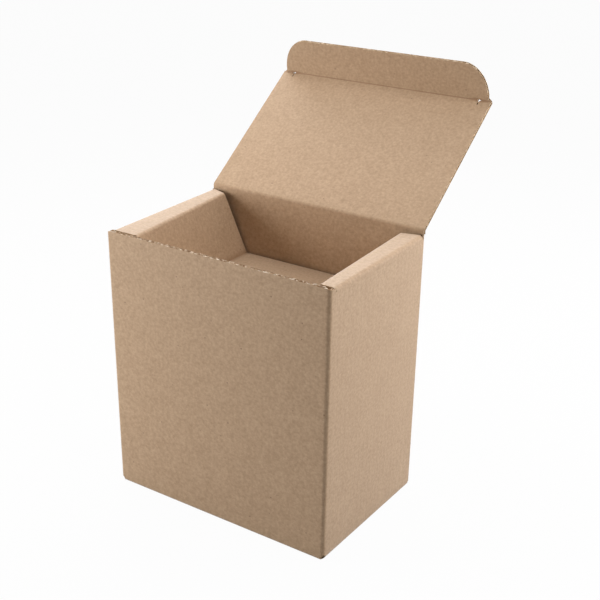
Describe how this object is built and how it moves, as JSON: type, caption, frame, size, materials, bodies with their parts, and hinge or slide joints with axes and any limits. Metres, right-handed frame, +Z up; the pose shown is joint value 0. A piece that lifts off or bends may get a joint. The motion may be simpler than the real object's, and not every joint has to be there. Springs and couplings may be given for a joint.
{
  "type": "corrugated mailer box",
  "caption": "Small upright kraft corrugated box with an open hinged lid, rounded tuck flap and folded-in cushion wings that form a shallow tray over the main compartment.",
  "frame": {"origin": "middle of the box's footprint, on the underside of the bottom, with the box standing on it", "axes": "+Z up; -Y is the front wall with the cut top edge; +Y is the back wall that carries the lid; +X is the right-hand side wall seen from the front"},
  "size_m": [0.12, 0.1425, 0.198],
  "materials": {
    "kraft_body": "uncoated brown kraft liner, matte",
    "kraft_lid": "uncoated brown kraft liner, matte",
    "kraft_flap": "uncoated brown kraft liner, matte"
  },
  "bodies": {
    "box": {"box_body": "kraft_body"},
    "lid": {"lid": "kraft_lid"},
    "tuck_flap": {"tuck_flap": "kraft_flap"}
  },
  "joints": [
    {"name": "lid_crease", "type": "hinge", "parent": "box", "child": "lid", "pos_m": [0, 0.04, 0.1328], "axis": [1, 0, 0], "range_deg": [-124.7, 143.3]},
    {"name": "tuck_flap_crease", "type": "hinge", "parent": "lid", "child": "tuck_flap", "pos_m": [0, 0.10254, 0.17941], "axis": [1, 0, 0], "range_deg": [-65, 35]}
  ],
  "couplings": [
    {"joint": "tuck_flap_crease", "follows": "lid_crease", "ratio": 0.24424}
  ]
}
